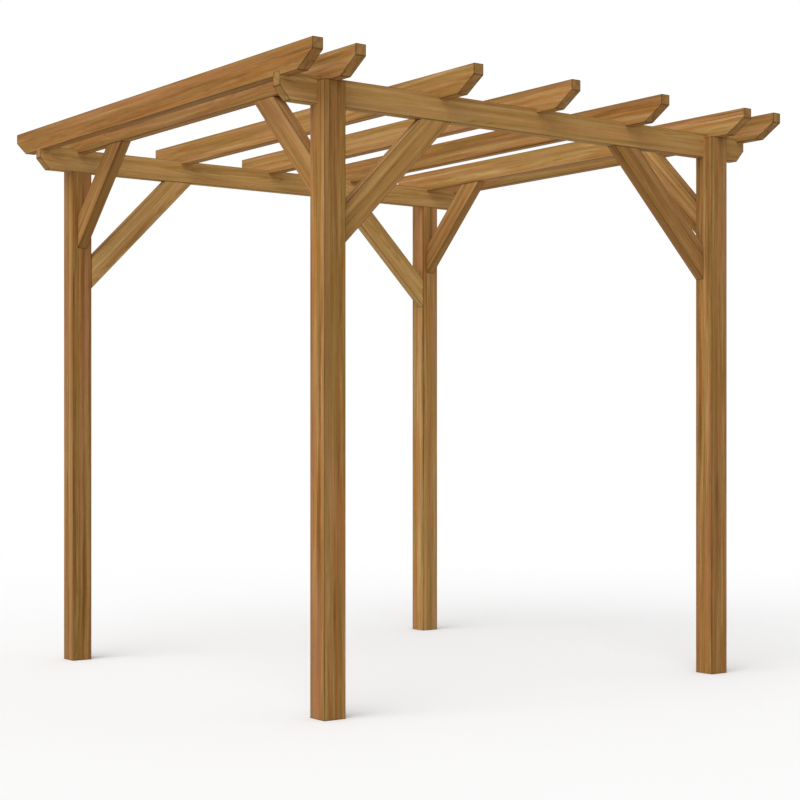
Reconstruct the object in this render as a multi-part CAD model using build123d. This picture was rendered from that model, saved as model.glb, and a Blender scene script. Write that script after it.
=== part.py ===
from build123d import *
import os

# Timber pergola: four posts, two beams let into their tops, seven rafters
# notched over the beams, and eight 45 degree braces that stiffen the posts.
# Millimetres, +Z up.  The origin is on the floor, in the middle of the plan.
# +X runs to the right along the beams and +Y runs back along the rafters.

# ---- driving dimensions -------------------------------------------------
post_side = 90
post_height = 2223
post_spacing_x = 1930
post_spacing_y = 1962

board_thickness = 43
board_depth = 97
arris_radius = 2.5

beam_length = 2325
beam_rise = 16
beam_nose = 50
beam_cut_run = 42

rafter_length = 2360
rafter_nose = 40
rafter_cut_run = 93
rafter_pitch = 471
inner_rafters = 3

beam_brace_leg = 507
rafter_brace_leg = 415
brace_slope = 45

# ---- sizes that follow --------------------------------------------------
post_x = post_spacing_x / 2
post_y = post_spacing_y / 2
post_inner_x = post_x - post_side / 2
post_inner_y = post_y - post_side / 2
beam_top = post_height + beam_rise
beam_underside = beam_top - board_depth
beam_y = post_inner_y + board_thickness / 2
rafter_underside = post_height
edge_rafter_x = beam_length / 2 - board_thickness / 2


def planed_timber(length, width, depth):
    """A planed timber along X, its section centred on the axis and its long edges eased."""
    section = RectangleRounded(width, depth, arris_radius)
    return extrude(Plane.YZ * section, length / 2, both=True)


def with_raked_ends(board, length, nose, run):
    """Saw the lower corner off both ends of a board, leaving an upright nose above the cut."""
    underside = -board_depth / 2
    end = -length / 2
    outline = Polyline(
        (end, underside),
        (end + run, underside),
        (end, underside + board_depth - nose),
        close=True,
    )
    corner = extrude(Plane.XZ * make_face(outline), board_thickness, both=True)
    return board - corner - mirror(corner, about=Plane.YZ)


def post(front_or_back):
    """An upright post; the inner half of its top is cut away as the seat for a beam."""
    upright = Rot(Y=-90) * planed_timber(post_height, post_side, post_side)
    upright = Pos(Z=post_height / 2) * upright
    seat_height = post_height - beam_underside
    seat = Box(post_side, board_thickness, seat_height, align=(Align.CENTER, Align.CENTER, Align.MAX))
    seat_offset = front_or_back * (beam_y - post_y)
    return upright - Pos(Y=seat_offset, Z=post_height) * seat


def beam():
    """A beam on edge with both ends cut back underneath."""
    board = planed_timber(beam_length, board_thickness, board_depth)
    return with_raked_ends(board, beam_length, beam_nose, beam_cut_run)


def rafter():
    """A rafter on edge along Y, raked under both ends and notched over the two beams."""
    board = planed_timber(rafter_length, board_thickness, board_depth)
    board = with_raked_ends(board, rafter_length, rafter_nose, rafter_cut_run)
    notch = Box(
        board_thickness,
        board_thickness,
        beam_rise,
        align=(Align.CENTER, Align.CENTER, Align.MIN),
    )
    for side in (-1, 1):
        board -= Pos(X=side * beam_y, Z=-board_depth / 2) * notch
    return Rot(Z=90) * board


def brace(leg):
    """A 45 degree brace in the XZ plane, in the corner below a level timber and beside a post.

    The post's face is the plane X = 0 and the level timber's underside is the plane Z = 0.
    The lower edge of the brace meets each of them at a distance of one leg from the corner.
    """
    board = planed_timber(2 * leg, board_thickness, board_depth)
    board = Rot(Y=-brace_slope) * Pos(Z=board_depth / 2) * board
    board = Pos(X=leg / 2, Z=-leg / 2) * board
    corner = Box(leg, board_thickness, leg, align=(Align.MIN, Align.CENTER, Align.MAX))
    return board & corner


def rafter_positions():
    """Middle of each rafter along X: the edges, over the posts, and pitched from the right."""
    inner = [post_x - rafter_pitch * step for step in range(inner_rafters, 0, -1)]
    return [-edge_rafter_x, -post_x] + inner + [post_x, edge_rafter_x]


def build_nodes():
    nodes = {}
    sides = (("left", -1), ("right", 1))
    ends = (("front", -1), ("rear", 1))
    for end_name, end in ends:
        beam_place = Pos(Y=end * beam_y, Z=beam_top - board_depth / 2)
        nodes[f"beam_{end_name}"] = beam_place * beam()
        for side_name, side in sides:
            corner_name = f"{end_name}_{side_name}"
            nodes[f"post_{corner_name}"] = Pos(side * post_x, end * post_y) * post(end)
            under_beam = Pos(side * post_inner_x, end * beam_y, beam_underside)
            inward = Rot(Z=90 + side * 90)
            nodes[f"beam_brace_{corner_name}"] = under_beam * inward * brace(beam_brace_leg)
            under_rafter = Pos(side * post_x, end * post_inner_y, rafter_underside)
            inward = Rot(Z=-end * 90)
            nodes[f"rafter_brace_{corner_name}"] = under_rafter * inward * brace(rafter_brace_leg)
    for number, x in enumerate(rafter_positions(), start=1):
        rafter_place = Pos(X=x, Z=rafter_underside + board_depth / 2)
        nodes[f"rafter_{number}"] = rafter_place * rafter()
    return nodes


os.makedirs("parts", exist_ok=True)
for name, solid in build_nodes().items():
    export_step(solid, f"parts/{name}.step")
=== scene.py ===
import math
import random
import re

import bpy
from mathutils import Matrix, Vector


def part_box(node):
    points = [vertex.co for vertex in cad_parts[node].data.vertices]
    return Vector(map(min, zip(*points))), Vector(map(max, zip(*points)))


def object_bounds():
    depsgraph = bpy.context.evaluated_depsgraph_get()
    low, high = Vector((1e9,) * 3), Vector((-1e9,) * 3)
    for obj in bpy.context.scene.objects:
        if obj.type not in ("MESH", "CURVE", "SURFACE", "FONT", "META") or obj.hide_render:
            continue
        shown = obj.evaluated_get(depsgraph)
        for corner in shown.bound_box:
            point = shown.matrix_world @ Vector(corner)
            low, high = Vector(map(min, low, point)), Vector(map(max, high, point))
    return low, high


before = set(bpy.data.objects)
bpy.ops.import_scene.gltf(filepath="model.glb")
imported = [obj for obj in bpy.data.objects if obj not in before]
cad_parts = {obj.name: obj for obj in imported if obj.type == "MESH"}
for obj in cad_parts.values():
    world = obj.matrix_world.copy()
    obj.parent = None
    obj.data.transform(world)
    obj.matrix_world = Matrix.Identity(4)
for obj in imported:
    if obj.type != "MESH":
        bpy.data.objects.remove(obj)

# The looks of a timber pergola. Every piece is a timber of the CAD model and keeps its shape.
# Each gets oiled softwood of its own, with the grain along its length, and slightly eased ends.

cad_low, cad_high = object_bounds()


# ---- shader arithmetic ----------------------------------------------------

class Signal:
    """A socket in a material's node tree, used in plain arithmetic."""

    def __init__(self, tree, socket):
        self.tree = tree
        self.socket = socket

    def node(self, kind, settings=(), sockets=(), output=0):
        """Add one node: its settings first, then the values or links of its sockets."""
        made = self.tree.nodes.new(kind)
        for name, value in dict(settings).items():
            if name == "stops":
                set_stops(made.color_ramp, value)
            else:
                setattr(made, name, value)
        for key, value in dict(sockets).items():
            if isinstance(value, Signal):
                self.tree.links.new(value.socket, made.inputs[key])
            else:
                made.inputs[key].default_value = value
        return Signal(self.tree, made.outputs[output]) if made.outputs else None

    def math(self, operation, *terms):
        return self.node("ShaderNodeMath", {"operation": operation}, enumerate(terms))

    def vector_math(self, operation, *terms, output=0):
        return self.node("ShaderNodeVectorMath", {"operation": operation}, enumerate(terms), output)

    def __add__(self, other):
        return self.math("ADD", self, other)

    def __sub__(self, other):
        return self.math("SUBTRACT", self, other)

    def __rsub__(self, other):
        return self.math("SUBTRACT", other, self)

    def __mul__(self, other):
        return self.math("MULTIPLY", self, other)

    def __truediv__(self, other):
        return self.math("DIVIDE", self, other)

    def __pow__(self, other):
        return self.math("POWER", self, other)

    __radd__ = __add__
    __rmul__ = __mul__

    def __abs__(self):
        return self.math("ABSOLUTE", self)

    def dot(self, direction):
        return self.vector_math("DOT_PRODUCT", self, tuple(direction), output="Value")

    def ramp(self, low, high):
        """0 at low, 1 at high, with a soft start and end."""
        settings = {"interpolation_type": "SMOOTHSTEP"}
        sockets = {"Value": self, "From Min": low, "From Max": high}
        return self.node("ShaderNodeMapRange", settings, sockets)

    def tint(self, colour, other, mode="MIX"):
        """Blend colour towards other by this much."""
        settings = {"data_type": "RGBA", "blend_type": mode}
        return self.node("ShaderNodeMix", settings, {0: self, 6: colour, 7: other}, output=2)


def set_stops(ramp, stops):
    """Give a colour ramp these (position, colour) stops."""
    while len(ramp.elements) < len(stops):
        ramp.elements.new(0.5)
    for element, (position, colour) in zip(ramp.elements, stops):
        element.position = position
        element.color = colour


def stain(red, green, blue):
    """A colour as a paint chart gives it, 0 to 255, turned into light."""
    return tuple(linear(channel / 255) for channel in (red, green, blue)) + (1.0,)


def linear(level):
    """How much light one channel of a chart colour stands for."""
    return level / 12.92 if level <= 0.04045 else ((level + 0.055) / 1.055) ** 2.4


def new_material(name):
    """An empty node material, with the Signal that starts its tree."""
    material = bpy.data.materials.new(name)
    material.use_nodes = True
    material.node_tree.nodes.clear()
    return material, Signal(material.node_tree, None)


# ---- how the timbers lie ----------------------------------------------------

X_AXIS, Y_AXIS, Z_AXIS = AXES = (Vector((1, 0, 0)), Vector((0, 1, 0)), Vector((0, 0, 1)))
BOARD_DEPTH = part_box("beam_front")[1].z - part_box("beam_front")[0].z


def kind_of(name):
    """The kind of timber: a node's name up to its number or its place in the frame."""
    return re.split(r"_(?:front|rear|[0-9])", name)[0]


class Timber:
    """Where one timber lies: its middle, its direction of growth and its section."""

    def __init__(self, name):
        low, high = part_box(name)
        self.name = name
        self.kind = kind_of(name)
        self.middle = (low + high) / 2
        size = high - low
        if "brace" in name:
            self.lay_diagonal(size)
        else:
            self.along = max(AXES, key=lambda axis: abs(axis.dot(size)))
            self.across = X_AXIS if self.along != X_AXIS else Y_AXIS
            self.length = abs(self.along.dot(size))
            self.half_across = abs(self.across.dot(size)) / 2
            self.half_up = abs(self.along.cross(self.across).dot(size)) / 2
        self.up = self.along.cross(self.across)
        self.sawn_ends = self.find_sawn_ends()

    def lay_diagonal(self, size):
        """A brace rises from its post towards the middle of the frame."""
        self.across = min((X_AXIS, Y_AXIS), key=lambda axis: abs(axis.dot(size)))
        level = X_AXIS if self.across == Y_AXIS else Y_AXIS
        outward = math.copysign(1, level.dot(self.middle)) * level
        self.along = (Z_AXIS - outward).normalized()
        self.length = size.z * math.sqrt(2)
        self.half_across = abs(self.across.dot(size)) / 2
        self.half_up = BOARD_DEPTH / 2
        self.middle = self.middle + (Z_AXIS + outward).normalized() * self.half_up

    def find_sawn_ends(self):
        """The planes that close the timber off at its ends: (outward direction, how far out)."""
        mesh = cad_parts[self.name].data
        planes = []
        for face in sorted(mesh.polygons, key=lambda face: -face.area):
            out = face.normal.copy()
            crosses_grain = abs(out.dot(self.along)) > 0.3 and abs(out.dot(self.across)) < 0.01
            known = any(out.dot(plane[0]) > 0.99 for plane in planes)
            if crosses_grain and not known:
                reach = out.dot(mesh.vertices[face.vertices[0]].co)
                if all(out.dot(vertex.co) < reach + 0.0001 for vertex in mesh.vertices):
                    planes.append((out, reach))
        return planes


# ---- oiled softwood -----------------------------------------------------------

HEARTWOOD = stain(134, 90, 44)
HONEY = stain(170, 126, 70)
PALE_SAPWOOD = stain(194, 154, 98)
OLIVE_STREAK = stain(152, 124, 60)
RUSSET_STREAK = stain(180, 112, 50)
ROSY_STREAK = stain(182, 124, 92)
LATEWOOD = stain(112, 70, 30)
FIBRE_LINE = stain(104, 68, 32)
END_GRAIN = stain(164, 132, 82)
DARK_ARRIS = stain(62, 42, 22)
DRYING_CHECK = stain(44, 28, 16)

# How much lighter than the plain stains each kind of timber is made, and each timber that stands
# out: partly the wood's own tone, partly painted light on timbers that stand in more shade, such as
# the rear ones.
PALENESS_AND_PAINTED_LIGHT = {
    "post": 0.01,
    "post_rear_right": 0.22,
    "rafter": 0.09,
    "rafter_1": -0.06,
    "rafter_4": 0.14,
    "rafter_5": 0.0,
    "rafter_6": 0.16,
    "beam": 0.31,
    "beam_rear": 0.46,
    "beam_brace": 0.47,
    "beam_brace_front_left": 0.3,
    "beam_brace_front_right": -0.01,
    "rafter_brace": 0.12,
    "rafter_brace_rear_left": 0.01,
}
# Lighter wood is also less yellow, and so is the painted light: its green and blue rise by this
# many times as much as its red.
GREEN_WITH_PALENESS_AND_LIGHT = 1.4
BLUE_WITH_PALENESS_AND_LIGHT = 1.75

# How strongly each kind of timber is streaked with other colours.
STREAKINESS = {"post": 0.62, "rafter": 0.5, "beam": 0.28, "beam_brace": 0.3, "rafter_brace": 0.45}
# How far the tone of each kind has to swing to reach heartwood or pale sapwood.
TONE_REACH = {"post": 0.09, "rafter": 0.12, "beam": 0.16, "beam_brace": 0.14, "rafter_brace": 0.125}

NOISE_MIDDLE = 0.5
NOISE_SPAN = 90
PITH_OFF_MIDDLE = (0.05, 0.11)
RING_WIDTH = (0.0030, 0.0042)
RUSSET_AMOUNT = (0.5, 1.2)
CHECKED_END = 0.16
ARRIS_WIDTH = 0.005
RELIEF_HEIGHT = 0.0006


class Grain:
    """Where a point lies in one timber, by the timber's own directions, and noise drawn out
    along the grain, each streak from its own part of the noise."""

    def __init__(self, timber, place, dice):
        from_middle = place.vector_math("SUBTRACT", place, tuple(timber.middle))
        self.place = place
        self.along = from_middle.dot(timber.along)
        self.across = from_middle.dot(timber.across)
        self.up = from_middle.dot(timber.up)
        self.dice = dice

    def shift(self):
        """Where in its noise a pattern starts, so that no two are alike."""
        return self.dice.uniform(0, NOISE_SPAN)

    def streaks(self, per_metre_along, per_metre_across, detail=2.0, rough=0.5):
        """Noise, 0 to 1, with about this many streaks to a metre along and across the grain."""
        stretched = self.along.node("ShaderNodeCombineXYZ", {}, {
            "X": self.along * per_metre_along + self.shift(),
            "Y": self.across * per_metre_across,
            "Z": self.up * per_metre_across,
        })
        sockets = {"Vector": stretched, "Scale": 1.0, "Detail": detail, "Roughness": rough}
        return stretched.node("ShaderNodeTexNoise", {}, sockets)


def layered(radius, detail=0.0):
    """Noise, 0 to 1, that changes only with radius, or with whatever else is given for it."""
    sockets = {"W": radius, "Scale": 1.0, "Detail": detail}
    return radius.node("ShaderNodeTexNoise", {"noise_dimensions": "1D"}, sockets)


def growth_rings(grain):
    """Rings round a wandering pith that lies off the section's middle: how far out from it and
    which way round it a point lies, and how deep it is in the dark latewood of its ring."""
    pith_angle = grain.dice.uniform(0, math.tau)
    pith_distance = grain.dice.uniform(*PITH_OFF_MIDDLE)
    wander_across = (grain.streaks(0.9, 2.0) - NOISE_MIDDLE) * 0.05
    wander_up = (grain.streaks(2.2, 12.0) - NOISE_MIDDLE) * 0.02
    ring_x = grain.across + math.cos(pith_angle) * pith_distance + wander_across
    ring_y = grain.up + math.sin(pith_angle) * pith_distance + wander_up
    from_pith = ring_x.node("ShaderNodeCombineXYZ", {}, {"X": ring_x, "Y": ring_y})
    radius = from_pith.vector_math("LENGTH", from_pith, output="Value")
    bearing = ring_y.math("ARCTAN2", ring_y, ring_x)
    even_rings = radius / grain.dice.uniform(*RING_WIDTH)
    ring = even_rings + layered(radius * 90 + grain.shift()) * 2.4
    latewood = ring.math("FRACT", ring) ** 2.2
    return radius, bearing, latewood


def streaked_colour(grain, radius, kind):
    """Groups of darker and paler rings, crossed by broad and narrow streaks along the grain."""
    band = layered(radius * 58 + grain.shift(), 1.0)
    tone = band * 0.2 + grain.streaks(0.7, 30) * 0.26 + grain.streaks(2.0, 64, 3.0) * 0.32
    tone = tone + grain.streaks(4.5, 150, 3.0) * 0.18 + grain.streaks(16, 110) * 0.08 - 0.02
    swing = TONE_REACH[kind]
    stops = [
        (NOISE_MIDDLE - swing, HEARTWOOD),
        (NOISE_MIDDLE, HONEY),
        (NOISE_MIDDLE + swing, PALE_SAPWOOD),
    ]
    colour = tone.node("ShaderNodeValToRGB", {"stops": stops}, {"Fac": tone})
    streaky = STREAKINESS[kind]
    olive = grain.streaks(0.8, 38).ramp(0.48, 0.62) * (streaky * 0.8)
    colour = olive.tint(colour, OLIVE_STREAK)
    russet_amount = streaky * grain.dice.uniform(*RUSSET_AMOUNT)
    broad_russet = grain.streaks(0.6, 46).ramp(0.52, 0.66) * russet_amount
    colour = broad_russet.tint(colour, RUSSET_STREAK)
    narrow_russet = grain.streaks(3.5, 120).ramp(0.53, 0.7) * (streaky * 0.9)
    colour = narrow_russet.tint(colour, RUSSET_STREAK)
    rosy = grain.streaks(0.9, 54).ramp(0.5, 0.64) * (streaky * 0.8)
    return rosy.tint(colour, ROSY_STREAK)


def drying_checks(grain, bearing, length):
    """Hairline cracks that run out from the pith, most of them near the timber's ends."""
    crack = 1 - abs(layered(bearing * 16 + grain.shift(), 1.0) - NOISE_MIDDLE).ramp(0.002, 0.016)
    near_end = abs(grain.along).ramp(length / 2 - CHECKED_END, length / 2)
    open_here = (grain.streaks(1.6, 26) + near_end * 0.08).ramp(0.62, 0.7)
    return crack * open_here


def arrises(grain, timber):
    """Where two of the timber's outer planes meet, unevenly darkened along the edge."""
    beside = near_plane(timber.half_across - abs(grain.across))
    planes_met = beside + near_plane(timber.half_up - abs(grain.up))
    for out, reach in timber.sawn_ends:
        planes_met = planes_met + near_plane(reach - grain.place.dot(out))
    return (planes_met - 1).ramp(0.0, 1.0) * (0.3 + grain.streaks(6.0, 20) * 0.56)


def near_plane(depth):
    """1 on one of the timber's outer planes, falling to 0 a few millimetres in."""
    return 1 - depth.ramp(0.0, ARRIS_WIDTH)


def paler_with_painted_light(long_grain, colour, timber):
    """The colour of the wood, lightened along the grain by this timber's entry in the table: partly
    its own tone, partly painted light on timbers in more shade.
    """
    pale_and_lit = PALENESS_AND_PAINTED_LIGHT.get(timber.name, PALENESS_AND_PAINTED_LIGHT[timber.kind])
    gain = (1 + pale_and_lit, 1 + pale_and_lit * GREEN_WITH_PALENESS_AND_LIGHT, 1 + pale_and_lit * BLUE_WITH_PALENESS_AND_LIGHT, 1.0)
    return long_grain.tint(colour, gain, "MULTIPLY")


def oiled_softwood(timber, dice):
    """Planed and oiled softwood, cut as one solid from a log: growth rings, streaks and fibres
    along the grain, rings that show on the sawn ends, drying checks and darker arrises."""
    material, start = new_material(f"oiled_softwood_{timber.name}")
    grain = Grain(timber, start.node("ShaderNodeTexCoord", output="Object"), dice)

    # 1 where the surface is sawn across the grain
    facing = abs(start.node("ShaderNodeNewGeometry", output="Normal").dot(timber.along))
    end_grain = facing.ramp(0.35, 0.8)

    radius, bearing, latewood = growth_rings(grain)
    colour = streaked_colour(grain, radius, timber.kind)
    fibre = grain.streaks(9.0, 700, 4.0, 0.6)
    pores = grain.streaks(40.0, 1800, 1.0).ramp(0.56, 0.68)
    colour = (end_grain * 0.32).tint(colour, END_GRAIN)
    colour = (latewood * (0.32 + end_grain * 0.1)).tint(colour, LATEWOOD)
    colour = (fibre.ramp(0.45, 0.75) * 0.24).tint(colour, FIBRE_LINE)
    colour = (pores * 0.22).tint(colour, FIBRE_LINE)

    check = drying_checks(grain, bearing, timber.length)
    colour = (check * 0.65).tint(colour, DRYING_CHECK)
    colour = arrises(grain, timber).tint(colour, DARK_ARRIS)
    # Lightened along the grain: partly the timber's own tone, partly painted light on timbers in
    # more shade.
    colour = paler_with_painted_light(1 - end_grain, colour, timber)

    relief = (latewood * 0.5 + fibre * 0.8 - pores * 0.5) * (1 - end_grain) - check * 3.0
    bump = start.node("ShaderNodeBump", {}, {
        "Strength": 0.4,
        "Distance": RELIEF_HEIGHT,
        "Height": relief,
    })
    finish = start.node("ShaderNodeBsdfPrincipled", {}, {
        "Base Color": colour,
        "Roughness": 0.64 + fibre * 0.2 - latewood * 0.08,
        "Normal": bump,
        "Specular IOR Level": 0.06,
    })
    start.node("ShaderNodeOutputMaterial", {}, {"Surface": finish})
    return material


# ---- finish on the timbers ------------------------------------------------------

EASED_WIDTH = 0.0008
SHARP_FROM = math.radians(50)


def finish_timbers():
    """Give every timber its own softwood, and ease the sharp edges that the saw left."""
    for name in sorted(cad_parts):
        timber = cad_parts[name]
        material = oiled_softwood(Timber(name), random.Random(name))
        timber.data.materials.clear()
        timber.data.materials.append(material)
        ease = timber.modifiers.new("eased_ends", "BEVEL")
        ease.limit_method = "ANGLE"
        ease.angle_limit = SHARP_FROM
        ease.width = EASED_WIDTH
        ease.segments = 2


# ---- floor, background, lamps and camera ------------------------------------------

FLOOR_REACH = 40.0
FLOOR_NEAR = 1.6
FLOOR_FAR = 7.0
FLOOR_BOUNCE = 0.5
FLOOR_SEEN = 0.97

# Soft light from all round, then from a softbox on the left, one overhead and one on the right.
# A spread is how squarely a direction has to face its softbox for the first and the full light.
AMBIENT = 0.42
SIDE = Vector((-0.95, -0.31, 0.0)).normalized()
SIDE_GLOW = 0.6
SIDE_SPREAD = (0.35, 0.95)
TOP_GLOW = 0.28
TOP_SPREAD = (0.4, 0.95)
FILL_GLOW = 0.22
FILL_SPREAD = (0.2, 0.9)


def seen_directly(start):
    """1 for the camera and for reflections of the background, 0 for light that falls on things."""
    path = start.node("ShaderNodeLightPath", output="Is Camera Ray")
    lights = path.socket.node.outputs
    seen = path
    for name in ("Is Glossy Ray", "Is Transmission Ray"):
        seen = seen.math("MAXIMUM", seen, Signal(path.tree, lights[name]))
    return seen


def studio_light(start):
    """White to look at; as light, an even grey with the three softboxes."""
    place = start.node("ShaderNodeTexCoord", output="Object")
    direction = place.vector_math("NORMALIZE", place)
    glow = direction.dot(SIDE).ramp(*SIDE_SPREAD) * SIDE_GLOW
    glow = glow + direction.dot(Z_AXIS).ramp(*TOP_SPREAD) * TOP_GLOW
    glow = glow + direction.dot(-SIDE).ramp(*FILL_SPREAD) * FILL_GLOW
    seen = seen_directly(start)
    return seen + (1 - seen) * (glow + AMBIENT)


def lay_floor():
    """A pale floor that takes shadows near the frame and fades into the background."""
    mesh = bpy.data.meshes.new("floor")
    reach = FLOOR_REACH
    level = cad_low.z
    plan = ((-reach, -reach), (reach, -reach), (reach, reach), (-reach, reach))
    corners = [(x, y, level) for x, y in plan]
    mesh.from_pydata(corners, [], [(0, 1, 2, 3)])
    floor = bpy.data.objects.new("floor", mesh)
    bpy.context.scene.collection.objects.link(floor)
    material, start = new_material("pale_floor")
    place = start.node("ShaderNodeTexCoord", output="Object")
    distance = place.vector_math("LENGTH", place, output="Value")
    whiteness = seen_directly(start) * (FLOOR_SEEN - FLOOR_BOUNCE) + FLOOR_BOUNCE
    paint = start.node("ShaderNodeBsdfDiffuse", {}, {"Color": whiteness})
    sockets = {"Color": (1, 1, 1, 1), "Strength": studio_light(start)}
    light = start.node("ShaderNodeEmission", {}, sockets)
    far_away = distance.ramp(FLOOR_NEAR, FLOOR_FAR)
    mixed = start.node("ShaderNodeMixShader", {}, {0: far_away, 1: paint, 2: light})
    start.node("ShaderNodeOutputMaterial", {}, {"Surface": mixed})
    mesh.materials.append(material)


def light_background():
    """A world that shows white and lights the frame from all round."""
    world = bpy.data.worlds.new("background")
    bpy.context.scene.world = world
    world.use_nodes = True
    world.node_tree.nodes.clear()
    start = Signal(world.node_tree, None)
    sockets = {"Color": (1, 1, 1, 1), "Strength": studio_light(start)}
    light = start.node("ShaderNodeBackground", {}, sockets)
    start.node("ShaderNodeOutputWorld", {}, {"Surface": light})


def hang_lamp(name, towards_lamp, strength, softness):
    """A lamp far off in one direction, as soft as its width in degrees."""
    lamp = bpy.data.lights.new(name, "SUN")
    lamp.energy = strength
    lamp.angle = math.radians(softness)
    holder = bpy.data.objects.new(name, lamp)
    holder.rotation_euler = Vector(towards_lamp).to_track_quat("Z", "Y").to_euler()
    bpy.context.scene.collection.objects.link(holder)


def set_camera():
    """A level camera on the front left, shifted up so that upright timbers stay upright."""
    eye_distance = 7.333
    eye_bearing = math.radians(36.14)
    look_bearing = math.radians(36.62)
    eye_height = 0.994
    camera = bpy.data.cameras.new("camera")
    camera.lens = 76.92
    camera.sensor_width = 36.0
    camera.shift_x = 0.0004
    camera.shift_y = 0.0422
    holder = bpy.data.objects.new("camera", camera)
    eye_x = -eye_distance * math.sin(eye_bearing)
    eye_y = -eye_distance * math.cos(eye_bearing)
    holder.location = (eye_x, eye_y, eye_height)
    holder.rotation_euler = (math.radians(90), 0, -look_bearing)
    bpy.context.scene.collection.objects.link(holder)
    bpy.context.scene.camera = holder


finish_timbers()
lay_floor()
light_background()
hang_lamp("key_softbox", towards_lamp=(-0.64, -0.25, 0.73), strength=1.4, softness=60)
set_camera()
bpy.context.scene.view_settings.view_transform = "Standard"
